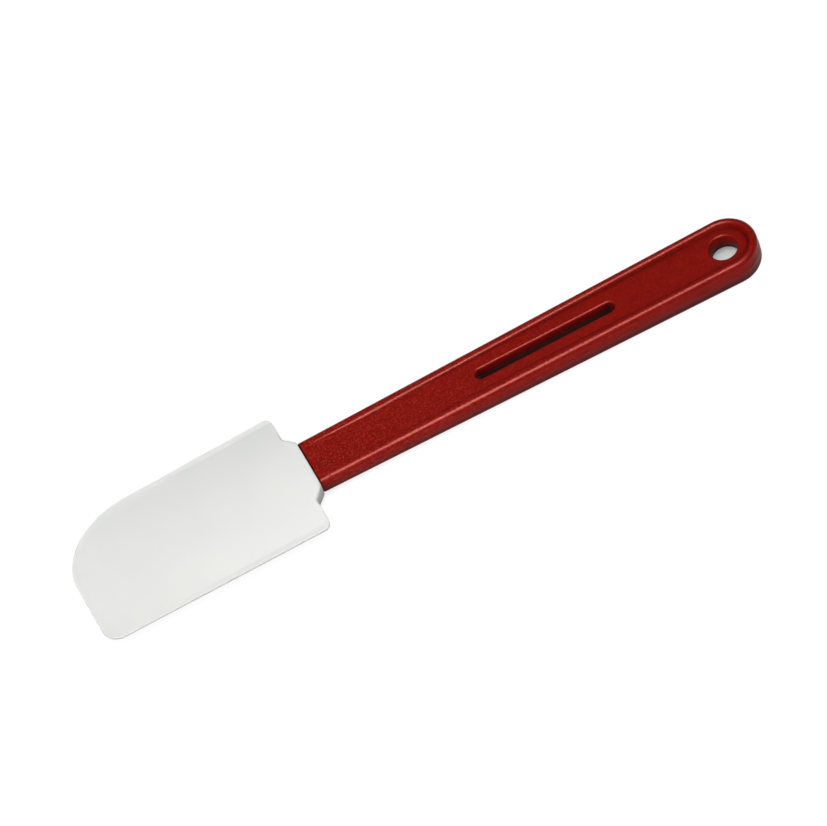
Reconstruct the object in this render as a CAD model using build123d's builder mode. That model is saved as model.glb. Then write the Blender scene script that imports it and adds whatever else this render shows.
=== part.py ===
from build123d import *
import os
from math import asin, atan2, cos, hypot, radians, sin, sqrt, tan

os.makedirs("parts", exist_ok=True)

# A bowl scraper: a stiff moulded handle whose flat tang is wrapped by a soft blade.
# It lies flat with +X from the blade's tip to the hanging end, +Z up, the middle of
# its length at X = 0, the handle's middle at Y = 0, and its underside on Z = 0.
# All lengths are in millimetres and all angles in degrees, unless a comment says otherwise.

# Whole tool, and how far past a trimmed edge a shape runs before it is trimmed
overall_length = 343.0
overrun = 1.0

# Blade, seen from above: its shoulders stand a little to the far side of the handle's middle.
# Towards the tip the far edge runs in, and the near edge a little out.
blade_length = 112.3
shoulder_half_width = 35.4
blade_offset = 0.5
far_edge_taper = 2.6
near_edge_flare = 1.1
sweep_length = 40.0
sweep_width = 33.0
small_corner_radius = 8.0
shoulder_radius = 3.8

# Blade, seen from its end: a thin lip along each side and a crown that thins to the tip
lip_thickness = 1.5
lip_width = 3.0
root_thickness = 10.4
middle_thickness = 7.2
tip_thickness = 1.9

# Neck sleeve: the blade's collar round the start of the handle
sleeve_length = 4.8
sleeve_root_half_width = 19.6
sleeve_proud = 0.6
sleeve_crown = 0.15
sleeve_edge_radius = 2.0

# Handle, seen from above, and the draft of its outer sides and its slot
mouth_width = 26.7
end_radius = 15.0
side_draft = 1.5

# Handle, seen from its side: it grows evenly thicker towards its end
mouth_thickness = 9.0
end_thickness = 14.2
web_thickness = 8.8

# Rim round the sunken panel
rim_width = 5.0
rim_wall_draft = 33.0
rim_outer_radius = 2.0
rim_inner_radius = 1.6
panel_setback = 4.5
panel_corner_radius = 1.0

# Hanging hole and slot, both through the web
hang_hole_radius = 6.4
hang_hole_to_end = 16.1
hang_hole_lip = 1.3
slot_length = 69.6
slot_width = 5.0
slot_to_end = 71.7
slot_lip = 1.5

# Tang: the flat tongue of the handle inside the blade, and its windows
tang_length = 62.0
tang_width = 21.0
tang_root_thickness = 6.2
tang_tip_thickness = 2.6
tang_corner_radius = 6.0
window_count = 3
window_length = 11.0
window_width = 10.0
window_corner_radius = 2.5
window_setback = 9.0

# Places along the tool that follow from the sizes
end_x = overall_length / 2
tip_x = -overall_length / 2
shoulder_x = tip_x + blade_length
sweep_end_x = tip_x + sweep_length
mouth_x = shoulder_x + sleeve_length
round_x = end_x - end_radius
hole_x = end_x - hang_hole_to_end
slot_x = end_x - slot_to_end - slot_length / 2
tang_tip_x = mouth_x - tang_length
window_pitch = (tang_length - window_setback) / window_count
first_window_x = mouth_x - window_setback - window_pitch / 2
window_places = [(first_window_x - window_pitch * index, 0) for index in range(window_count)]

# Heights: everything is symmetrical about the parting plane at half the thickness
mid_z = end_thickness / 2
web_top = mid_z + web_thickness / 2
lip_top = mid_z + lip_thickness / 2
parting_plane = Plane.XY.offset(mid_z)

# The handle's top falls evenly from its end to the mouth
thickness_slope = (end_thickness - mouth_thickness) / 2 / (end_x - mouth_x)
top_plane = Plane(
    origin=(mouth_x, 0, mid_z + mouth_thickness / 2),
    x_dir=(1, 0, thickness_slope),
    z_dir=(-thickness_slope, 0, 1),
)

# The handle's sides run straight from the mouth and meet the round end smoothly.
# The angle that each side makes with the tool's length, in radians:
bar_reach = round_x - mouth_x
side_angle = asin(end_radius / hypot(bar_reach, mouth_width / 2)) - atan2(mouth_width / 2, bar_reach)

# The rim's inner wall leans, so it starts further in at the parting plane than at the web
inner_wall_lean = web_thickness / 2 * tan(radians(rim_wall_draft))
inner_wall_inset = rim_width + inner_wall_lean
panel_x = mouth_x + panel_setback + inner_wall_lean


def bar_shape(start_x, inset, corner_radius=0):
    """The handle seen from above, from start_x to its round end, moved in from its edge by inset."""
    radius = end_radius - inset
    touch_x = round_x - radius * sin(side_angle)
    touch_y = radius * cos(side_angle)
    start_y = touch_y - (touch_x - start_x) * tan(side_angle)
    with BuildSketch() as shape:
        with BuildLine():
            Polyline((touch_x, touch_y), (start_x, start_y), (start_x, -start_y), (touch_x, -touch_y))
            ThreePointArc((touch_x, -touch_y), (round_x + radius, 0), (touch_x, touch_y))
        make_face()
        if corner_radius > 0:
            fillet(shape.vertices().group_by(Axis.X)[0], radius=corner_radius)
    return shape.sketch


def web_openings(part):
    """The edges of the openings in the web's upper face, the slot's first and the hole's last."""
    # Of the level faces, the lowest are on the parting plane and the next are the web's
    level_faces = part.faces().filter_by(Plane.XY).group_by(Axis.Z)[1]
    web_face = level_faces.sort_by(SortBy.AREA)[-1]
    return web_face.inner_wires().sort_by(Axis.X)


# Handle: its upper half is made above the parting plane, then mirrored below it
with BuildPart() as handle:
    # The rim is a bar with its middle taken out, its walls drafted away from the parting plane
    with BuildSketch(parting_plane):
        add(bar_shape(mouth_x, 0))
    extrude(amount=end_thickness, taper=side_draft)
    with BuildSketch(parting_plane):
        add(bar_shape(panel_x, inner_wall_inset, panel_corner_radius))
    extrude(amount=end_thickness, taper=-rim_wall_draft, mode=Mode.SUBTRACT)
    split(bisect_by=top_plane, keep=Keep.BOTTOM)

    # Its top is rounded over on both sides, but not where it meets the sleeve's mouth
    rim_top = handle.faces().filter_by(GeomType.PLANE).sort_by(Axis.Z)[-1]
    fillet(rim_top.outer_wire().edges().sort_by(Axis.X)[1:], radius=rim_outer_radius)
    rim_top = handle.faces().filter_by(GeomType.PLANE).sort_by(Axis.Z)[-1]
    fillet(rim_top.inner_wires()[0].edges(), radius=rim_inner_radius)

    # The web fills the rim to one thickness from end to end
    with BuildSketch(parting_plane):
        add(bar_shape(mouth_x, rim_width / 2))
    extrude(amount=web_thickness / 2)

    # The hanging hole and the slot go through the web, with their lips rounded over
    with Locations((hole_x, 0, web_top)):
        Hole(radius=hang_hole_radius, depth=web_thickness)
    with BuildSketch(parting_plane):
        with Locations((slot_x, 0)):
            SlotOverall(slot_length, slot_width)
    extrude(amount=web_thickness, taper=-side_draft, mode=Mode.SUBTRACT)
    fillet(web_openings(handle)[-1].edges(), radius=hang_hole_lip)
    fillet(web_openings(handle)[0].edges(), radius=slot_lip)

    # The tang thins towards its tip, and the blade locks through its windows
    with BuildSketch(Plane.XZ):
        with BuildLine():
            Polyline(
                (mouth_x, mid_z),
                (mouth_x, mid_z + tang_root_thickness / 2),
                (tang_tip_x, mid_z + tang_tip_thickness / 2),
                (tang_tip_x, mid_z),
                close=True,
            )
        make_face()
    extrude(amount=tang_width / 2, both=True)
    tang_tip = handle.faces().sort_by(Axis.X)[0]
    fillet(tang_tip.edges().filter_by(Axis.Z), radius=tang_corner_radius)
    with BuildSketch(parting_plane):
        with Locations(*window_places):
            RectangleRounded(window_length, window_width, window_corner_radius)
    extrude(amount=tang_root_thickness, mode=Mode.SUBTRACT)

    mirror(about=parting_plane)

handle.part.label = "handle"
export_step(handle.part, "parts/handle.step")

# Blade: the Y places of its shoulders and of its tip's corners, and a plate wide enough to be trimmed
far_shoulder_y = blade_offset + shoulder_half_width
near_shoulder_y = blade_offset - shoulder_half_width
far_tip_y = far_shoulder_y - far_edge_taper
near_tip_y = near_shoulder_y - near_edge_flare
plate_reach = shoulder_half_width + near_edge_flare + blade_offset + overrun


def blade_shape():
    """The blade seen from above: two straight sides, one swept corner and three small ones."""
    sweep_start_y = far_tip_y - sweep_width
    with BuildSketch() as shape:
        with BuildLine():
            Polyline(
                (sweep_end_x, far_tip_y),
                (shoulder_x, far_shoulder_y),
                (shoulder_x, near_shoulder_y),
                (tip_x, near_tip_y),
                (tip_x, sweep_start_y),
            )
            EllipticalCenterArc(
                (sweep_end_x, sweep_start_y), sweep_length, sweep_width, start_angle=90, arc_size=90
            )
        make_face()
        fillet(shape.vertices().sort_by(Axis.X)[-2:], radius=shoulder_radius)
        fillet(shape.vertices().sort_by(Axis.Y)[0], radius=small_corner_radius)
    return shape.sketch


def plate_section(station_x, thickness):
    """Upper half of the blade across its width: a flat lip, the crown's arc and a flat lip."""
    taper_share = min((shoulder_x - station_x) / (shoulder_x - sweep_end_x), 1)
    flare_share = (shoulder_x - station_x) / blade_length
    far_y = far_shoulder_y - far_edge_taper * taper_share - lip_width
    near_y = near_shoulder_y - near_edge_flare * flare_share + lip_width
    crown_top = ((near_y + far_y) / 2, mid_z + thickness / 2)
    with BuildSketch(Plane.YZ.offset(station_x)) as section:
        with BuildLine():
            Polyline(
                (far_y, lip_top),
                (plate_reach, lip_top),
                (plate_reach, mid_z),
                (-plate_reach, mid_z),
                (-plate_reach, lip_top),
                (near_y, lip_top),
            )
            ThreePointArc((near_y, lip_top), crown_top, (far_y, lip_top))
        make_face()
    return section.sketch


def sleeve_section(station_x, half_width, side_height, middle_height):
    """Upper half of the sleeve across its width, with its upper corners rounded."""
    side_z = mid_z + side_height
    middle_z = mid_z + middle_height
    with BuildSketch(Plane.YZ.offset(station_x)) as section:
        with BuildLine():
            Polyline((half_width, side_z), (half_width, mid_z), (-half_width, mid_z), (-half_width, side_z))
            ThreePointArc((-half_width, side_z), (0, middle_z), (half_width, side_z))
        make_face()
        fillet(section.vertices().group_by(Axis.Y)[-1], radius=sleeve_edge_radius)
    return section.sketch


# Half heights of the sleeve at its root, where its sides meet the crown, and at its mouth
crown_half_width = shoulder_half_width - lip_width
crown_rise = (root_thickness - lip_thickness) / 2
crown_radius = (crown_half_width**2 + crown_rise**2) / (2 * crown_rise)
crown_drop = crown_radius - sqrt(crown_radius**2 - sleeve_root_half_width**2)
sleeve_root_side = root_thickness / 2 - crown_drop
sleeve_mouth_side = mouth_thickness / 2 + sleeve_proud
sleeve_mouth_half_width = mouth_width / 2 + sleeve_proud

# Its upper half is made above the parting plane and mirrored below it, as the handle's is
with BuildPart() as blade:
    # The crowned plate, trimmed to the blade's outline
    add(plate_section(shoulder_x, root_thickness))
    add(plate_section((shoulder_x + tip_x) / 2, middle_thickness))
    add(plate_section(tip_x - overrun, tip_thickness))
    loft()
    with BuildSketch(parting_plane):
        add(blade_shape())
    extrude(amount=root_thickness, mode=Mode.INTERSECT)

    # The sleeve, which carries the crown on from the shoulders and narrows to its mouth
    sleeve_mouth_middle = sleeve_mouth_side + sleeve_crown
    add(sleeve_section(shoulder_x, sleeve_root_half_width, sleeve_root_side, root_thickness / 2))
    add(sleeve_section(mouth_x, sleeve_mouth_half_width, sleeve_mouth_side, sleeve_mouth_middle))
    loft()

    mirror(about=parting_plane)

    # The silicone is moulded round the tang and through its windows
    add(handle.part, mode=Mode.SUBTRACT)

blade.part.label = "blade"
export_step(blade.part, "parts/blade.step")
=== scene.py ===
from math import asin, atan2, cos, hypot, pi, radians, sin, sqrt, tan

import bmesh
import bpy
import numpy as np
from mathutils import Matrix, Vector
from mathutils.geometry import delaunay_2d_cdt


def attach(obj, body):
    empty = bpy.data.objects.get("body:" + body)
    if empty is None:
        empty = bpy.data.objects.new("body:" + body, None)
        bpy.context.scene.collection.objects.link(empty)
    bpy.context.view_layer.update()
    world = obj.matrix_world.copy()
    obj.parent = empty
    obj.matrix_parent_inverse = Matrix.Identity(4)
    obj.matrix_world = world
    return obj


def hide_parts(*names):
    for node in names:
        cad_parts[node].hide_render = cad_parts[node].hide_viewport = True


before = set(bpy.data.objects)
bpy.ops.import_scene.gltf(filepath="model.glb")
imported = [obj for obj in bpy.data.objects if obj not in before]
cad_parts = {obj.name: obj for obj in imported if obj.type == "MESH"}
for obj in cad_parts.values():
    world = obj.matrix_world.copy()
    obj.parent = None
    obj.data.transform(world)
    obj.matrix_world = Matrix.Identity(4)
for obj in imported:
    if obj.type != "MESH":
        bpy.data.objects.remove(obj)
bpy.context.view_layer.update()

# A bowl scraper lying flat, +X from the blade's tip to the hanging end, +Y to the far side.
# Both pieces are made from their plan and a height over it, alike above and below MID_Z.
# Lengths are in millimetres in the CAD frame, and become metres when a mesh is made.
MM = 0.001

# Sizes of the whole tool, shared with the CAD
OVERALL_LENGTH = 343.0
BLADE_LENGTH = 112.3
SLEEVE_LENGTH = 4.8
MOUTH_HALF_WIDTH = 13.35
END_RADIUS = 15.0
END_HALF_THICKNESS = 7.1

# Places along it
END_X = OVERALL_LENGTH / 2
TIP_X = -OVERALL_LENGTH / 2
SHOULDER_X = TIP_X + BLADE_LENGTH
MOUTH_X = SHOULDER_X + SLEEVE_LENGTH
ROUND_X = END_X - END_RADIUS
MID_Z = END_HALF_THICKNESS


# Plane geometry
def arc(cx, cy, radius, start, end, step):
    """Points on a circle from one angle to another, about a step apart, all in degrees."""
    count = max(2, int(abs(end - start) / step) + 1)
    angles = np.radians(np.linspace(start, end, count))
    return np.stack([cx + radius * np.cos(angles), cy + radius * np.sin(angles)], 1)


def rounded(corners, radii, step=7.0):
    """A closed outline through the corners, each rounded to its radius in steps of an angle."""
    points = []
    count = len(corners)
    for i in range(count):
        here = np.array(corners[i], float)
        before = np.array(corners[i - 1], float) - here
        after = np.array(corners[(i + 1) % count], float) - here
        if radii[i] == 0:
            points.append(here)
            continue
        before /= np.linalg.norm(before)
        after /= np.linalg.norm(after)
        half = np.arccos(np.clip(before @ after, -1, 1)) / 2
        reach = radii[i] / tan(half)
        first, last = here + before * reach, here + after * reach
        bisector = (before + after) / np.linalg.norm(before + after)
        middle = here + bisector * radii[i] / sin(half)
        start = atan2(*(first - middle)[::-1])
        turn = (atan2(*(last - middle)[::-1]) - start + pi) % (2 * pi) - pi
        steps = max(2, int(abs(np.degrees(turn)) / step) + 1)
        for share in np.linspace(0, 1, steps):
            angle = start + turn * share
            points.append(middle + radii[i] * np.array([cos(angle), sin(angle)]))
    return np.array(points)


def spaced(points, spacing, closed=True):
    """The same line with no gap between points longer than the spacing."""
    result = []
    count = len(points) if closed else len(points) - 1
    for i in range(count):
        a, b = points[i], points[(i + 1) % len(points)]
        parts = max(1, int(np.ceil(np.linalg.norm(b - a) / spacing)))
        for k in range(parts):
            result.append(a + (b - a) * k / parts)
    if not closed:
        result.append(points[-1])
    return np.array(result)


def unit(vectors):
    """The same directions at length 1."""
    return vectors / (np.linalg.norm(vectors, axis=1, keepdims=True) + 1e-12)


def inward(points, closed=True):
    """How each point moves for a step to the left, which is inwards on a counter-clockwise loop.

    At a corner it moves further, so that the runs beside it move by the step."""
    if closed:
        back, ahead = points - np.roll(points, 1, 0), np.roll(points, -1, 0) - points
    else:
        ahead = np.vstack([points[1:] - points[:-1], points[-1:] - points[-2:-1]])
        back = np.vstack([points[1:2] - points[:1], points[1:] - points[:-1]])
    back, ahead = unit(back), unit(ahead)
    mean = unit(back + ahead)
    normal = np.stack([-mean[:, 1], mean[:, 0]], 1)
    stretch = np.clip(np.sum(mean * back, axis=1), 0.5, 1)
    return normal / stretch[:, None]


def rings(line, distances, closed=True):
    """Copies of a line, each moved in by one of the distances."""
    side = inward(line, closed)
    return [line + side * step for step in distances]


def grid(xs, ys):
    """Every crossing of the columns xs and the rows ys."""
    return np.array([(x, y) for y in ys for x in xs])


def both_ways(reach, step):
    """Values a step apart, from minus the reach up to the reach."""
    return np.arange(-reach, reach + 0.1, step)


def distance(points, line, closed=True):
    """Distance of each point from a line of short straight runs."""
    start, end = (line, np.roll(line, -1, 0)) if closed else (line[:-1], line[1:])
    run = end - start
    length = np.sum(run * run, axis=1) + 1e-12
    best = np.empty(len(points))
    batch = 2000
    for first in range(0, len(points), batch):
        part = points[first:first + batch]
        share = np.clip(np.einsum("ijk,jk->ij", part[:, None] - start[None], run) / length, 0, 1)
        gap = part[:, None] - (start[None] + share[..., None] * run[None])
        best[first:first + batch] = np.sqrt((gap ** 2).sum(-1)).min(1)
    return best


def within(points, loop):
    """True for each point inside the loop."""
    x, y = points[:, 0], points[:, 1]
    inside = np.zeros(len(points), bool)
    for (ax, ay), (bx, by) in zip(loop, np.roll(loop, -1, 0)):
        if ay != by:
            crosses = (ay > y) != (by > y)
            inside ^= crosses & (x < (bx - ax) * (y - ay) / (by - ay) + ax)
    return inside


def soft_step(share):
    """From 0 to 1 with level ends, as the share goes from 0 to 1."""
    return share * share * (3 - 2 * share)


def smooth_max(a, b, blend):
    """The larger of two heights, with a soft change from one to the other."""
    return np.maximum(a, b) + np.maximum(blend - np.abs(a - b), 0) ** 2 / (4 * blend)


def round_over(depth, radius):
    """How far a rounded edge falls below the face, at each distance in from the edge."""
    rest = np.clip(radius - depth, 0, radius)
    return radius - np.sqrt(np.maximum(radius ** 2 - rest ** 2, 0))


def arc_steps(radius, count):
    """Distances in from an edge that divide its rounding evenly."""
    return [radius * (1 - cos(pi / 2 * k / count)) for k in range(1, count + 1)]


# A moulding from its plan. Its points stand clear of the outlines, and one to a cell.
EDGE_CLEARANCE = 0.008
CELL = 0.03
JOIN = 1e-6
WELD_METRES = 2e-6
FLAT_METRES = 1e-7

# The seam is a low ridge along the middle of the walls. The rows of points that shape it
# stay inside this share of a wall's height.
SEAM_HALF_HEIGHT = 0.06
SEAM_FOOT = 0.16
WALL_SHARE = 0.9


def plan_points(loops, points):
    """The points that lie inside the first loop and outside the others, one to a cell."""
    keep = within(points, loops[0])
    for loop in loops:
        keep &= distance(points, loop) > EDGE_CLEARANCE
    for loop in loops[1:]:
        keep &= ~within(points, loop)
    points = points[keep]
    cells = np.round(points / CELL).astype(int)
    first = np.unique(cells, axis=0, return_index=True)[1]
    return points[np.sort(first)]


def inner_faces(faces, runs):
    """The triangles on the left of the outlines' runs, walked from one to the next."""
    left_of = {}
    for number, face in enumerate(faces):
        for k in range(3):
            left_of[face[k], face[(k + 1) % 3]] = number
    queue = [left_of[run] for run in sorted(runs)]
    found = set(queue)
    while queue:
        face = faces[queue.pop()]
        for k in range(3):
            run = (face[k], face[(k + 1) % 3])
            other = left_of.get(run[::-1])
            if run not in runs and other is not None and other not in found:
                found.add(other)
                queue.append(other)
    return [faces[number] for number in sorted(found)]


def walls(loops, plan_index, top, draft, seam):
    """The vertices and faces of the walls between the upper and lower outlines.

    They lean out by the draft as far as the parting plane, where the seam stands proud."""
    vertices, polygons = [], []
    count = len(top)
    total = 2 * count
    at = 0
    for loop in loops:
        ring = np.array([plan_index[at + i] for i in range(len(loop))])
        at += len(loop)
        out = -inward(loop)
        rim = top[ring]
        rows = [ring]
        for level, proud in (
                (SEAM_FOOT, 0.0), (SEAM_HALF_HEIGHT, seam),
                (-SEAM_HALF_HEIGHT, seam), (-SEAM_FOOT, 0.0)):
            shift = np.maximum(rim - abs(level), 0) * tan(radians(draft)) + proud
            place = loop + out * np.minimum(shift, rim)[:, None]
            z = np.clip(level, -rim * WALL_SHARE, rim * WALL_SHARE)
            vertices.append(np.column_stack([place, z]))
            rows.append(total + np.arange(len(loop)))
            total += len(loop)
        rows.append(ring + count)
        for above, below in zip(rows[:-1], rows[1:]):
            for i in range(len(loop)):
                j = (i + 1) % len(loop)
                polygons.append((int(above[j]), int(above[i]), int(below[i]), int(below[j])))
    return vertices, polygons


def moulding(name, loops, points, height, draft=0.0, seam=0.0, crease=180):
    """A closed mesh that is the same above and below its parting plane.

    loops holds the outer outline and then any openings, points the plan points between
    them, and height(points) gives the half thickness at each. The draft and the crease are
    angles in degrees. Edges that turn by more than the crease stay sharp."""
    plan = np.vstack([*loops, plan_points(loops, points)])
    links, at = [], 0
    for loop in loops:
        links += [(at + i, at + (i + 1) % len(loop)) for i in range(len(loop))]
        at += len(loop)
    made = delaunay_2d_cdt([Vector(p) for p in plan], links, [], 0, JOIN)
    plan = np.array([list(p) for p in made[0]])
    plan_index = {old: new for new, olds in enumerate(made[3]) for old in olds}
    triangles = [face for face in made[2] if len(face) == 3]
    faces = inner_faces(triangles, {(plan_index[a], plan_index[b]) for a, b in links})

    top = height(plan)
    wall_vertices, wall_faces = walls(loops, plan_index, top, draft, seam)
    vertices = np.vstack([
        np.column_stack([plan, top]), np.column_stack([plan, -top]), *wall_vertices])
    vertices[:, 2] += MID_Z
    polygons = [tuple(face) for face in faces]
    polygons += [tuple(i + len(plan) for i in face[::-1]) for face in faces]

    mesh = bpy.data.meshes.new(name)
    mesh.from_pydata((vertices * MM).tolist(), [], polygons + wall_faces)
    piece = bpy.data.objects.new(name, mesh)
    bpy.context.scene.collection.objects.link(piece)
    cleaned = bmesh.new()
    cleaned.from_mesh(mesh)
    bmesh.ops.remove_doubles(cleaned, verts=cleaned.verts, dist=WELD_METRES)
    bmesh.ops.dissolve_degenerate(cleaned, edges=cleaned.edges, dist=FLAT_METRES)
    bmesh.ops.recalc_face_normals(cleaned, faces=cleaned.faces)
    cleaned.to_mesh(mesh)
    cleaned.free()
    mesh.shade_smooth()
    mesh.set_sharp_from_angle(angle=radians(crease))
    return piece


# Handle. It starts a little inside the sleeve, and its draft brings the outline in at the top.
MOUTH_HALF_THICKNESS = 4.5
WEB = 4.4
DRAFT = 1.5
TOP_INSET = 0.12
START_OVERLAP = 0.6
SEAM = 0.02
HANDLE_CREASE = 35

# Its rim, whose inner wall leans this far from upright, and the sunken panel inside it
RIM_WIDTH = 5.0
RIM_LEAN = radians(33.0)
RIM_ROUND = 2.3
RIM_INNER_ROUND = 1.9
PANEL_SETBACK = 4.5
PANEL_CORNER = 3.8

# Its openings. The slot is about SLOT_WIDTH wide at the parting plane, and its ends have the
# radius that the draft gives them at the web's faces.
HOLE_TO_END = 16.1
HOLE_RADIUS = 6.4
HOLE_LIP = 1.1
SLOT_TO_END = 71.7
SLOT_LENGTH = 69.6
SLOT_WIDTH = 5.0
SLOT_END_RADIUS = 2.6
SLOT_LIP = 1.2
HOLE_X = END_X - HOLE_TO_END
SLOT_X = END_X - SLOT_TO_END - SLOT_LENGTH / 2

# The shallow groove beside the sleeve's mouth, and the columns of points that shape it
GROOVE_X = MOUTH_X + 0.22
GROOVE_HALF_WIDTH = 0.34
GROOVE_DEPTH = 0.6
GROOVE_COLUMNS = MOUTH_X - 0.12 + np.array([0.0, 0.11, 0.22, 0.33, 0.44, 0.56, 0.8, 1.3])

# The longest gaps between points along its outlines
HANDLE_SPACING = 2.5
OPENING_SPACING = 2.0

# Its plan points: rings in from each outline, some of the panel's out on the rim, then a
# grid on the panel that keeps clear of them, and rows across the groove
RIM_STEPS = arc_steps(RIM_ROUND, 9)
PANEL_STEPS = [
    -2.75, -2.6, -2.4, -2.2, -2.0, -1.8, -1.62, -1.44, -1.28, -1.12, -0.96, -0.8, -0.64, -0.48,
    -0.32, -0.16, 0.0, 0.3, 0.7]
SLOT_STEPS = arc_steps(SLOT_LIP, 9) + [1.5, 2.1]
HOLE_STEPS = arc_steps(HOLE_LIP, 8) + [1.4, 2.0]
PANEL_CELL = 2.5
PANEL_REACH = 12.5
CLEAR_OF_RIM = 1.6
CLEAR_OF_SLOT = 2.9
CLEAR_OF_HOLE = 2.7
GROOVE_REACH = 11.4
GROOVE_CELL = 1.2

# The angle that each side makes with the tool's length
SIDE_ANGLE = asin(END_RADIUS / hypot(ROUND_X - MOUTH_X, MOUTH_HALF_WIDTH)) - atan2(
    MOUTH_HALF_WIDTH, ROUND_X - MOUTH_X)


def bar_line(start_x, inset):
    """The handle's near side, round end and far side, from start_x and moved in by inset."""
    radius = END_RADIUS - inset
    touch_x = ROUND_X - radius * sin(SIDE_ANGLE)
    touch_y = radius * cos(SIDE_ANGLE)
    start_y = touch_y - (touch_x - start_x) * tan(SIDE_ANGLE)
    lean = np.degrees(SIDE_ANGLE)
    curve = arc(ROUND_X, 0, radius, -90 - lean, 90 + lean, step=4.0)
    return np.vstack([[(start_x, -start_y)], curve, [(start_x, start_y)]])


def side_outline():
    """The handle's outline without its start, with points beside each column of the groove."""
    line = bar_line(MOUTH_X - START_OVERLAP, TOP_INSET)
    slope = (line[-2] - line[-1]) / (line[-2, 0] - line[-1, 0])
    far_run = line[-1] + np.outer(GROOVE_COLUMNS[::-1] - line[-1, 0], slope)
    near_run = far_run[::-1] * (1, -1)
    line = np.vstack([line[:1], near_run, line[1:-1], far_run, line[-1:]])
    return spaced(line, HANDLE_SPACING, closed=False)


def panel_outline():
    """The foot of the rim's inner wall."""
    corners = bar_line(MOUTH_X + PANEL_SETBACK, RIM_WIDTH)
    radii = [PANEL_CORNER] + [0] * (len(corners) - 2) + [PANEL_CORNER]
    return spaced(rounded(corners, radii), HANDLE_SPACING)


def slot_outline():
    """The slot, a straight run between two half circles."""
    half = (SLOT_LENGTH - SLOT_WIDTH) / 2
    return spaced(np.vstack([
        arc(SLOT_X + half, 0, SLOT_END_RADIUS, 90, -90, step=9.0),
        arc(SLOT_X - half, 0, SLOT_END_RADIUS, 270, 90, step=9.0)]), OPENING_SPACING)


side_line = side_outline()
start_line = spaced(np.array([side_line[-1], side_line[0]]), OPENING_SPACING, closed=False)
handle_loop = np.vstack([side_line, start_line[1:-1]])
panel_loop = panel_outline()
slot_loop = slot_outline()
hole_loop = arc(HOLE_X, 0, HOLE_RADIUS, 360, 0, step=5.0)[:-1]


def rim_rise(depth, step):
    """Height of the rim over the web, at each distance out from the foot of its inner wall."""
    slope = 1 / tan(RIM_LEAN)
    lean = pi / 2 - RIM_LEAN
    corner = step / slope
    reach = RIM_INNER_ROUND * tan(lean / 2)
    rest = np.clip(corner + reach - depth, 0, RIM_INNER_ROUND)
    curve = step - RIM_INNER_ROUND + np.sqrt(RIM_INNER_ROUND ** 2 - rest ** 2)
    return np.maximum(np.where(depth < corner - reach * cos(lean), depth * slope, curve), 0)


def handle_height(plan):
    """Half thickness of the handle: a rounded rim, its leaning inner wall and the sunken web."""
    x = plan[:, 0]
    growth = (END_HALF_THICKNESS - MOUTH_HALF_THICKNESS) / (END_X - MOUTH_X)
    thick = MOUTH_HALF_THICKNESS + growth * (x - MOUTH_X)
    from_panel = distance(plan, panel_loop)
    from_panel[within(plan, panel_loop)] *= -1
    height = WEB + rim_rise(from_panel, thick - WEB)
    height -= round_over(distance(plan, side_line, closed=False), RIM_ROUND)
    height -= round_over(distance(plan, hole_loop), HOLE_LIP)
    height -= round_over(distance(plan, slot_loop), SLOT_LIP)
    groove = np.clip(1 - np.abs(x - GROOVE_X) / GROOVE_HALF_WIDTH, 0, 1)
    return height - GROOVE_DEPTH * soft_step(groove)


def handle_points():
    """The plan points of the handle between its outlines."""
    points = rings(side_line, RIM_STEPS, closed=False)
    points += rings(panel_loop, PANEL_STEPS)
    points += rings(slot_loop, SLOT_STEPS)
    points += rings(hole_loop, HOLE_STEPS)
    panel = grid(np.arange(MOUTH_X, END_X, PANEL_CELL), both_ways(PANEL_REACH, PANEL_CELL))
    clear = within(panel, panel_loop)
    clear &= distance(panel, panel_loop) > CLEAR_OF_RIM
    clear &= distance(panel, slot_loop) > CLEAR_OF_SLOT
    clear &= distance(panel, hole_loop) > CLEAR_OF_HOLE
    points.append(panel[clear])
    points.append(grid(GROOVE_COLUMNS, both_ways(GROOVE_REACH, GROOVE_CELL)))
    return np.vstack(points)


handle_skin = moulding(
    "handle_body", [handle_loop, slot_loop, hole_loop], handle_points(), handle_height,
    draft=DRAFT, seam=SEAM, crease=HANDLE_CREASE)

# Blade, seen from above: its shoulders stand a little to the far side of the handle's middle.
# Towards the tip the far edge runs in, and the near edge a little out.
SHOULDER_HALF_WIDTH = 35.4
BLADE_OFFSET = 0.5
FAR_TAPER = 2.6
NEAR_FLARE = 1.1
SWEEP_LENGTH = 40.0
SWEEP_WIDTH = 33.0
SMALL_CORNER = 8.0
SHOULDER_ROUND = 3.8
NECK_ROUND = 3.6
MOUTH_CORNER = 0.8
FAR_SHOULDER_Y = BLADE_OFFSET + SHOULDER_HALF_WIDTH
NEAR_SHOULDER_Y = BLADE_OFFSET - SHOULDER_HALF_WIDTH
FAR_TIP_Y = FAR_SHOULDER_Y - FAR_TAPER
NEAR_TIP_Y = NEAR_SHOULDER_Y - NEAR_FLARE

# Its thin lips and its crown, whose half thickness is set at three places from the shoulders
LIP = 0.75
LIP_WIDTH = 3.0
LIP_ROUND = 0.45
LIP_BLEND = 0.16
ROOT_CROWN = 5.2
MIDDLE_CROWN = 3.6
TIP_CROWN = 0.95
CROWN_LENGTH = 113.0
CROWN_MIDDLE = 56.0 / CROWN_LENGTH
TAPER_LENGTH = 72.0
TIP_LIP_OVERLAP = 0.6
TIP_RISE = 9.0

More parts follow.
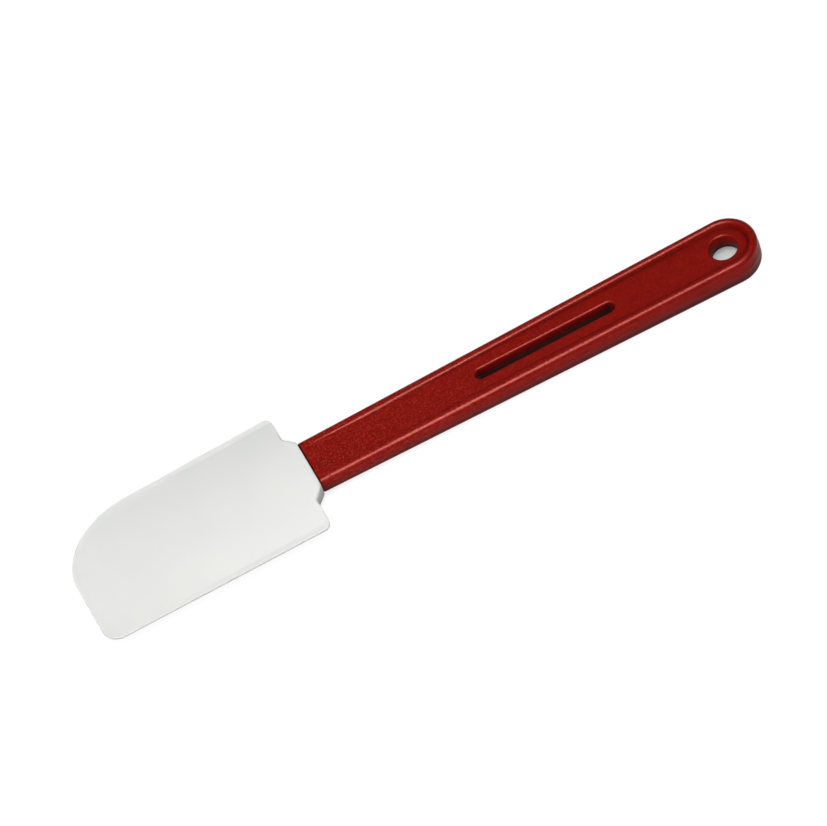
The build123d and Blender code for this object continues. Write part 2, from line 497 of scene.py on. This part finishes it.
# Its sleeve: half widths in plan, half thicknesses, the rounding of its sides and the fall
# of its end towards the mouth
SLEEVE_PROUD = 0.6
SLEEVE_ROOT_HALF_WIDTH = 19.6
SLEEVE_MOUTH_HALF_WIDTH = MOUTH_HALF_WIDTH + SLEEVE_PROUD
SLEEVE_ROOT_SIDE = 3.6
SLEEVE_MOUTH_SIDE = 5.1
SLEEVE_MOUTH_CROWN = 5.25
SLEEVE_ROUND = 1.7
SLEEVE_FALL = 0.4
SLEEVE_FALL_LENGTH = 3.6
SLEEVE_FALL_BEND = 0.96

# The stretch round the neck where the rounding changes from the lips' to the sleeve's
NECK_START_X = SHOULDER_X - 3.0
NECK_CHANGE_ALONG = 4.0
NECK_HALF_WIDTH = 25.0
NECK_CHANGE_ACROSS = 5.0

# Its plan points: rings in from its outline where nothing else of the outline is closer,
# then a broad grid and a finer one on the neck, each clear of the outline
BLADE_SPACING = 1.2
BLADE_STEPS = arc_steps(LIP_ROUND, 7) + [
    0.62, 0.85, 1.1, 1.3, 1.55, 1.8, 2.1, 2.5, 2.75, 2.95, 3.15, 3.4, 3.8, 4.4, 5.2, 6.4, 8.0]
RING_SHARE = 0.98
BROAD_CELL = 1.9
BROAD_REACH = 36.1
BROAD_CLEARANCE = 8.9
NECK_CELL_X = 0.45
NECK_CELL_Y = 1.4
NECK_REACH_X = 4.0
NECK_REACH_Y = 19.0
NECK_CLEARANCE = 0.9


def sweep_line():
    """The swept far corner of the blade, a quarter of an ellipse."""
    turn = np.radians(np.linspace(90, 180, 40))
    return np.column_stack([
        TIP_X + SWEEP_LENGTH + SWEEP_LENGTH * np.cos(turn),
        FAR_TIP_Y - SWEEP_WIDTH + SWEEP_WIDTH * np.sin(turn)])


def blade_outline(sweep):
    """Half the neck and the far shoulder, the sweep, the small corner and the way back."""
    neck = [
        (MOUTH_X, -SLEEVE_MOUTH_HALF_WIDTH), (MOUTH_X, SLEEVE_MOUTH_HALF_WIDTH),
        (SHOULDER_X, SLEEVE_ROOT_HALF_WIDTH), (SHOULDER_X, FAR_SHOULDER_Y)]
    near = [
        (TIP_X, NEAR_TIP_Y), (SHOULDER_X, NEAR_SHOULDER_Y),
        (SHOULDER_X, -SLEEVE_ROOT_HALF_WIDTH)]
    radii = [MOUTH_CORNER, MOUTH_CORNER, NECK_ROUND, SHOULDER_ROUND] + [0] * len(sweep)
    radii += [SMALL_CORNER, SHOULDER_ROUND, NECK_ROUND]
    return spaced(rounded([*neck, *sweep, *near], radii), BLADE_SPACING)


def run_without_mouth(loop):
    """The blade's outline from one side of the sleeve's mouth round to the other."""
    at_mouth = np.flatnonzero(np.isclose(loop[:, 0], MOUTH_X))
    return np.roll(loop, -at_mouth.max() - 1, axis=0)[:len(loop) - len(at_mouth)]


sweep = sweep_line()
tip_line = np.vstack([sweep, [(TIP_X, NEAR_TIP_Y)]])
blade_loop = blade_outline(sweep)
blade_side = run_without_mouth(blade_loop)


def crown(x, y):
    """Half thickness of the blade with no edge rounding: flat lips and an arched crown.

    Across the blade the crown is an arc of a circle. Along it, a parabola goes through its
    three thicknesses."""
    s = np.clip((SHOULDER_X - x) / CROWN_LENGTH, 0, 1)
    thick = (ROOT_CROWN * (s - CROWN_MIDDLE) * (s - 1) / CROWN_MIDDLE
             + MIDDLE_CROWN * s * (s - 1) / (CROWN_MIDDLE * (CROWN_MIDDLE - 1))
             + TIP_CROWN * s * (s - CROWN_MIDDLE) / (1 - CROWN_MIDDLE))
    taper = np.clip(s * CROWN_LENGTH / TAPER_LENGTH, 0, 1)
    far = FAR_SHOULDER_Y - FAR_TAPER * taper - LIP_WIDTH
    near = NEAR_SHOULDER_Y - NEAR_FLARE * s + LIP_WIDTH
    half, centre = (far - near) / 2, (far + near) / 2
    rise = thick - LIP
    radius = (half ** 2 + rise ** 2) / (2 * rise)
    arch = rise - radius + np.sqrt(np.maximum(radius ** 2 - (y - centre) ** 2, 1.0))
    return LIP + smooth_max(arch, 0.0, LIP_BLEND)


def sleeve(x, y):
    """Half thickness of the sleeve, which carries the crown on and falls towards its mouth."""
    along = np.clip((x - SHOULDER_X) / SLEEVE_LENGTH, 0, 1)
    half = SLEEVE_ROOT_HALF_WIDTH + (SLEEVE_MOUTH_HALF_WIDTH - SLEEVE_ROOT_HALF_WIDTH) * along
    side = SLEEVE_ROOT_SIDE + (SLEEVE_MOUTH_SIDE - SLEEVE_ROOT_SIDE) * along
    middle = ROOT_CROWN + (SLEEVE_MOUTH_CROWN - ROOT_CROWN) * along
    across = np.clip(np.abs(y) / half, 0, 1)
    near_mouth = np.clip(1 - (MOUTH_X - x) / SLEEVE_FALL_LENGTH, 0, 1)
    fall = (1 - np.sqrt(1 - SLEEVE_FALL_BEND * near_mouth ** 2)) / (1 - sqrt(1 - SLEEVE_FALL_BEND))
    return middle - (middle - side) * across ** 2 - SLEEVE_FALL * fall


def blade_height(plan):
    """Half thickness of the blade: its crown, thin round the tip too, its sleeve and its edges."""
    x, y = plan[:, 0], plan[:, 1]
    from_tip = distance(plan, tip_line, closed=False) - LIP_WIDTH + TIP_LIP_OVERLAP
    share = np.clip(from_tip / TIP_RISE, 0, 1)
    body = LIP + (crown(x, y) - LIP) * share * (2 - share)
    body = np.where(x > SHOULDER_X, sleeve(x, y), body)
    # The sides of the sleeve are rounded more than the lips, with a soft change between
    share = np.clip((x - NECK_START_X) / NECK_CHANGE_ALONG, 0, 1)
    share *= np.clip((NECK_HALF_WIDTH - np.abs(y)) / NECK_CHANGE_ACROSS, 0, 1)
    radius = LIP_ROUND + (SLEEVE_ROUND - LIP_ROUND) * soft_step(share)
    body -= round_over(distance(plan, blade_side, closed=False), radius)
    return body - round_over(MOUTH_X - x, LIP_ROUND)


def blade_points():
    """The plan points of the blade inside its outline."""
    points = []
    for step, ring in zip(BLADE_STEPS, rings(blade_loop, BLADE_STEPS)):
        points.append(ring[distance(ring, blade_loop) > step * RING_SHARE])
    broad = grid(np.arange(TIP_X, MOUTH_X, BROAD_CELL), both_ways(BROAD_REACH, BROAD_CELL))
    neck = grid(
        np.arange(SHOULDER_X - NECK_REACH_X, MOUTH_X, NECK_CELL_X),
        both_ways(NECK_REACH_Y, NECK_CELL_Y))
    for part, gap in ((broad, BROAD_CLEARANCE), (neck, NECK_CLEARANCE)):
        points.append(part[(distance(part, blade_loop) > gap) & within(part, blade_loop)])
    return np.vstack(points)


blade_skin = moulding("blade_body", [blade_loop], blade_points(), blade_height)


# Material nodes
NODES_IN_ROW = 8
NODE_WIDTH = 220
NODE_HEIGHT = 340


def new_material(name):
    """A material with an empty node tree."""
    material = bpy.data.materials.new(name)
    material.use_nodes = True
    material.node_tree.nodes.clear()
    return material, material.node_tree


def add(tree, kind, inputs=None, **settings):
    """A new node. Each input gets a value, or the output of another node that is given."""
    row, place = divmod(len(tree.nodes), NODES_IN_ROW)
    node = tree.nodes.new(kind)
    node.location = (place * NODE_WIDTH, -row * NODE_HEIGHT)
    for key, value in settings.items():
        setattr(node, key, value)
    for key, value in (inputs or {}).items():
        if isinstance(value, bpy.types.NodeSocket):
            tree.links.new(value, node.inputs[key])
        else:
            node.inputs[key].default_value = value
    return node


def opaque(colour):
    """A colour with the fourth value that a colour socket needs, or an output as it is."""
    return (*colour, 1) if isinstance(colour, tuple) else colour


def noise(tree, vector, scale, detail, roughness=0.5, distortion=0.0):
    """Even noise with this many features to a metre."""
    return add(tree, "ShaderNodeTexNoise", {
        "Vector": vector, "Scale": scale, "Detail": detail, "Roughness": roughness,
        "Distortion": distortion}).outputs["Fac"]


def spread(tree, value, old, new=(0.0, 1.0)):
    """The value carried over from the old range to the new one, and kept inside it."""
    return add(tree, "ShaderNodeMapRange", {
        "Value": value, "From Min": old[0], "From Max": old[1], "To Min": new[0],
        "To Max": new[1]}).outputs["Result"]


def combine(tree, operation, first, second):
    """One value worked out from two."""
    return add(tree, "ShaderNodeMath", {0: first, 1: second}, operation=operation).outputs[0]


def mix_value(tree, factor, first, second):
    """The first value where the factor is 0, and the second where it is 1."""
    return add(tree, "ShaderNodeMix", {0: factor, 2: first, 3: second}).outputs[0]


def mix_colour(tree, factor, first, second):
    """The first colour where the factor is 0, and the second where it is 1."""
    return add(tree, "ShaderNodeMix", {0: factor, 6: opaque(first), 7: opaque(second)},
               data_type="RGBA").outputs[2]


def bumped(tree, height, strength, reach, before=None):
    """The surface's normal, tilted by the height on top of any bump before it."""
    inputs = {"Height": height, "Strength": strength, "Distance": reach}
    if before is not None:
        inputs["Normal"] = before
    return add(tree, "ShaderNodeBump", inputs).outputs["Normal"]


def open_share(tree, reach, local=False):
    """The share of the sky that is open within the reach, or that the piece itself leaves open."""
    return add(tree, "ShaderNodeAmbientOcclusion", {"Distance": reach},
               samples=6, only_local=local).outputs["AO"]


def object_place(tree):
    """Where a point lies on the piece, in metres."""
    return add(tree, "ShaderNodeTexCoord").outputs["Object"]


def along_x(tree, place):
    """Where it lies along the tool alone."""
    return add(tree, "ShaderNodeSeparateXYZ", {0: place}).outputs["X"]


def finished(tree, shader):
    """The shader as the material's surface."""
    add(tree, "ShaderNodeOutputMaterial", {"Surface": shader.outputs[0]})


# Colours, as linear red, green and blue
FLOW_RED, FLOW_LIGHT_RED = (0.164, 0.0012, 0.0003), (0.246, 0.0052, 0.0020)
CLOUD_RED = (0.192, 0.0028, 0.0008)
PALE_GRAIN_RED = (0.30, 0.029, 0.022)
DARK_GRAIN_RED = (0.112, 0.0006, 0.0002)
# Painted shade: the next four reds darken the hanging end, hollows, undersides near the table and
# the rim's crease
END_SHADE_RED = (0.125, 0.0008, 0.0002)
HOLLOW_SHADE_RED = (0.020, 0.0002, 0.0001)
UNDERSIDE_SHADE_RED = (0.020, 0.0004, 0.0002)
CREASE_SHADE_RED = (0.055, 0.0008, 0.0003)
GLOSS_RED = (1.0, 0.36, 0.30)
SILICONE_WHITE, SILICONE_LIGHT_WHITE = (0.700, 0.708, 0.690), (0.722, 0.727, 0.706)
SILICONE_SHADE = (0.36, 0.36, 0.345)
WHITE = (1.0, 1.0, 1.0)
PAPER_GREY = (0.10, 0.10, 0.10)
PLAIN_GREY = (0.76, 0.76, 0.76)
SKY_WHITE = (0.97, 0.985, 1.0)

# What the floor shines with beside its own grey where no shadow falls on it
FLOOR_BRIGHTNESS = 0.93


def nylon_colour(tree, place, flow, grain):
    """Brick red with flow marks, clouds and grain, and painted shade in hollows, in the rim's
    crease, close to the table and towards the hanging end.
    """
    cloud = noise(tree, place, scale=60.0, detail=2.0, distortion=0.4)
    colour = mix_colour(tree, spread(tree, flow, (0.3, 0.72)), FLOW_RED, FLOW_LIGHT_RED)
    clouded = spread(tree, cloud, (0.35, 0.7), (0, 0.45))
    colour = mix_colour(tree, clouded, colour, CLOUD_RED)
    # The pale grain is strongest at the neck and fades towards the hanging end
    along = along_x(tree, place)
    fading = spread(tree, along, (-40 * MM, 90 * MM), (0.92, 0.28))
    pale = combine(tree, "MULTIPLY", spread(tree, grain, (0.51, 0.68)), fading)
    colour = mix_colour(tree, pale, colour, PALE_GRAIN_RED)
    dark = spread(tree, grain, (0.46, 0.30), (0, 0.42))
    colour = mix_colour(tree, dark, colour, DARK_GRAIN_RED)
    # Painted shade: the colour darkens a little the same way, towards the hanging end
    end_shade = spread(tree, along, (0.0, 170 * MM), (0, 0.24))
    colour = mix_colour(tree, end_shade, colour, END_SHADE_RED)
    # Painted shade: hollows and inner corners are darkened where they keep less light
    hollow_shade = spread(tree, open_share(tree, 6 * MM), (0.36, 0.95))
    colour = mix_colour(tree, hollow_shade, HOLLOW_SHADE_RED, colour)
    # Painted shade on the undersides that the table is close to
    beside_table = open_share(tree, 12 * MM)
    table = combine(tree, "DIVIDE", beside_table, open_share(tree, 12 * MM, local=True))
    colour = mix_colour(tree, spread(tree, table, (0.64, 0.76)), UNDERSIDE_SHADE_RED, colour)
    # Painted shade in the crease along the foot of the rim
    crease = spread(tree, open_share(tree, 1.8 * MM), (0.60, 0.93))
    return mix_colour(tree, crease, CREASE_SHADE_RED, colour)


def nylon():
    """Brick red moulded nylon: flow marks, a fine grain and a slightly uneven gloss."""
    material, tree = new_material("moulded_nylon")
    place = object_place(tree)
    drawn = add(tree, "ShaderNodeMapping", {
        "Vector": place, "Scale": (0.55, 1.0, 1.0), "Rotation": (0, 0, radians(24))})
    flow = noise(
        tree, drawn.outputs["Vector"], scale=330.0, detail=3.0, roughness=0.55, distortion=1.2)
    grain = noise(tree, place, scale=1150.0, detail=3.0, roughness=0.62)
    fine = noise(tree, place, scale=4200.0, detail=2.0, roughness=0.6)
    normal = bumped(tree, fine, strength=0.18, reach=0.06 * MM)
    normal = bumped(tree, grain, strength=0.60, reach=0.16 * MM, before=normal)
    normal = bumped(tree, flow, strength=0.22, reach=0.20 * MM, before=normal)
    finished(tree, add(tree, "ShaderNodeBsdfPrincipled", {
        "Base Color": nylon_colour(tree, place, flow, grain),
        "Roughness": spread(tree, flow, (0.25, 0.75), (0.40, 0.32)), "Normal": normal,
        "Specular IOR Level": 0.13, "Specular Tint": opaque(GLOSS_RED)}))
    return material


def silicone():
    """Off-white silicone rubber: soft, slightly see-through at thin edges, faintly uneven."""
    material, tree = new_material("moulded_silicone")
    place = object_place(tree)
    cloud = noise(tree, place, scale=38.0, detail=2.0, distortion=0.3)
    satin = noise(tree, place, scale=900.0, detail=3.0, roughness=0.55)
    fine = noise(tree, place, scale=5200.0, detail=2.0)
    clouded = spread(tree, cloud, (0.3, 0.7))
    colour = mix_colour(tree, clouded, SILICONE_WHITE, SILICONE_LIGHT_WHITE)
    # Painted shade on walls and the underside, close over the table, where they keep less light
    shaded = spread(tree, open_share(tree, 20 * MM), (0.52, 0.94))
    normal = bumped(tree, fine, strength=0.10, reach=0.03 * MM)
    normal = bumped(tree, satin, strength=0.08, reach=0.08 * MM, before=normal)
    finished(tree, add(tree, "ShaderNodeBsdfPrincipled", {
        "Base Color": mix_colour(tree, shaded, SILICONE_SHADE, colour),
        "Roughness": spread(tree, satin, (0.3, 0.7), (0.40, 0.47)), "Normal": normal,
        "Specular IOR Level": 0.05, "Subsurface Weight": 0.12,
        "Subsurface Radius": (0.9, 0.85, 0.8), "Subsurface Scale": 1.6 * MM,
        "Sheen Weight": 0.05, "Sheen Roughness": 0.5}))
    return material


def floor_light(tree, camera_ray):
    """How bright the floor shines: white, but for the object's painted shadow.

    The painted shadow is the floor's share of open sky, stretched between a least and a most
    share.
    The camera sees the stretch that gives the photo's shades, and other rays see none."""
    place = object_place(tree)
    reach = mix_value(tree, camera_ray, 22 * MM, 16 * MM)
    # The painted shadow is deeper under the hanging hole than beside the handle
    from_hole = add(tree, "ShaderNodeVectorMath", {0: place, 1: (HOLE_X * MM, 0, 0)},
                    operation="DISTANCE").outputs["Value"]
    hole_edge = (9 * MM, 13 * MM)
    most = spread(tree, from_hole, hole_edge, (0.47, 0.25))
    least = spread(tree, from_hole, hole_edge, (-0.05, -3.0))
    # Under the blade the painted shadow is much fainter
    faint = spread(tree, along_x(tree, place), (-72 * MM, -52 * MM), (-2.5, -0.2))
    least = combine(tree, "MAXIMUM", faint, least)
    stretch = (mix_value(tree, camera_ray, 0.0, least), mix_value(tree, camera_ray, 1.0, most))
    return spread(tree, open_share(tree, reach), stretch, (0.0, FLOOR_BRIGHTNESS))


def floor_paper():
    """A white floor with the object's shadow, mostly painted into its glow and faintly cast on its
    grey paper.

    Camera, glossy and transmission rays see it shine. Rays that light the object see a plain
    pale grey."""
    material, tree = new_material("floor_paper")
    path = add(tree, "ShaderNodeLightPath").outputs
    shown = path["Is Camera Ray"]
    for name in ("Is Glossy Ray", "Is Transmission Ray"):
        shown = combine(tree, "MAXIMUM", shown, path[name])
    bright = add(tree, "ShaderNodeEmission", {
        "Strength": floor_light(tree, path["Is Camera Ray"])})
    paper = add(tree, "ShaderNodeBsdfDiffuse", {"Color": opaque(PAPER_GREY)})
    both = add(tree, "ShaderNodeAddShader", {0: bright.outputs[0], 1: paper.outputs[0]})
    plain = add(tree, "ShaderNodeBsdfDiffuse", {"Color": opaque(PLAIN_GREY)})
    finished(tree, add(tree, "ShaderNodeMixShader", {
        0: shown, 1: plain.outputs[0], 2: both.outputs[0]}))
    return material


for skin, node, slot, material in (
        (handle_skin, "handle", "handle_nylon", nylon()),
        (blade_skin, "blade", "blade_silicone", silicone())):
    skin.data.materials.append(material)
    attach(skin, "root")
    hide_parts(node)

# Floor
FLOOR_RADIUS_METRES = 40.0
bpy.ops.mesh.primitive_circle_add(vertices=64, radius=FLOOR_RADIUS_METRES, fill_type="NGON")
floor = bpy.context.object
floor.name = "floor"
floor.data.materials.append(floor_paper())

# Sky: a weak, even light, which the camera sees as white
SKY_STRENGTH = 0.23
world = bpy.data.worlds.new("studio")
bpy.context.scene.world = world
world.use_nodes = True
sky = world.node_tree
sky.nodes.clear()
ambient = add(sky, "ShaderNodeBackground", {
    "Color": opaque(SKY_WHITE), "Strength": SKY_STRENGTH})
white = add(sky, "ShaderNodeBackground", {"Color": opaque(WHITE), "Strength": 1.0})
camera_ray = add(sky, "ShaderNodeLightPath").outputs["Is Camera Ray"]
mix = add(sky, "ShaderNodeMixShader", {0: camera_ray, 1: ambient.outputs[0], 2: white.outputs[0]})
add(sky, "ShaderNodeOutputWorld", {"Surface": mix.outputs[0]})


# Lamps, which stand this far off for show, as their light comes from one direction
LAMP_DISTANCE_METRES = 2.0


def softbox(name, towards, strength, width, colour=WHITE, glossy=False, diffuse=False):
    """A far, soft lamp that shines from the direction towards, its width in degrees."""
    lamp = bpy.data.lights.new(name, "SUN")
    lamp.energy = strength
    lamp.color = colour
    lamp.angle = radians(width)
    piece = bpy.data.objects.new(name, lamp)
    bpy.context.scene.collection.objects.link(piece)
    towards = Vector(towards).normalized()
    piece.rotation_mode = "QUATERNION"
    piece.rotation_quaternion = towards.to_track_quat("Z", "Y")
    piece.location = towards * LAMP_DISTANCE_METRES
    piece.visible_glossy = glossy
    piece.visible_diffuse = diffuse


# One lamp is for the highlights alone, and two light the faces
softbox("gloss_box", (-0.04, -0.29, 0.955), strength=17.0, width=26, glossy=True)
softbox("overhead_box", (-0.04, -0.13, 0.99), strength=1.59, width=26,
        colour=(0.985, 1.0, 0.99), diffuse=True)
softbox("near_box", (-0.33, -0.67, 0.67), strength=1.79, width=36,
        colour=(1.0, 0.97, 0.975), diffuse=True)

# Camera. The offset is from the picture's middle to the object's, in pixels, and the distance
# and the sensor's width are in metres and millimetres.
AZIMUTH = radians(-7.7)
ELEVATION = radians(52.0)
ROLL = radians(21.34)
PIXELS_PER_METRE = 2237.2
IMAGE_WIDTH = 827
MIDDLE_OFFSET = (4.7, 0.55)
CAMERA_DISTANCE = 5.0
SENSOR_WIDTH = 36.0

right = Vector((cos(AZIMUTH), sin(AZIMUTH), 0))
up = Vector((
    -sin(AZIMUTH) * sin(ELEVATION), cos(AZIMUTH) * sin(ELEVATION), cos(ELEVATION)))
back = Vector((
    sin(AZIMUTH) * cos(ELEVATION), -cos(AZIMUTH) * cos(ELEVATION), sin(ELEVATION)))
picture_x = right * cos(ROLL) - up * sin(ROLL)
picture_y = right * sin(ROLL) + up * cos(ROLL)
offset = picture_x * MIDDLE_OFFSET[0] + picture_y * MIDDLE_OFFSET[1]
aim = Vector((0, 0, MID_Z * MM)) - offset / PIXELS_PER_METRE

camera = bpy.data.objects.new("camera", bpy.data.cameras.new("camera"))
bpy.context.scene.collection.objects.link(camera)
camera.data.sensor_width = SENSOR_WIDTH
camera.data.lens = SENSOR_WIDTH * CAMERA_DISTANCE / (IMAGE_WIDTH / PIXELS_PER_METRE)
camera.data.clip_start = 0.1
camera.data.clip_end = 100.0
turn = Matrix((picture_x, picture_y, back)).transposed().to_4x4()
camera.matrix_world = Matrix.Translation(aim + back * CAMERA_DISTANCE) @ turn
bpy.context.scene.camera = camera
bpy.context.scene.view_settings.view_transform = "Standard"
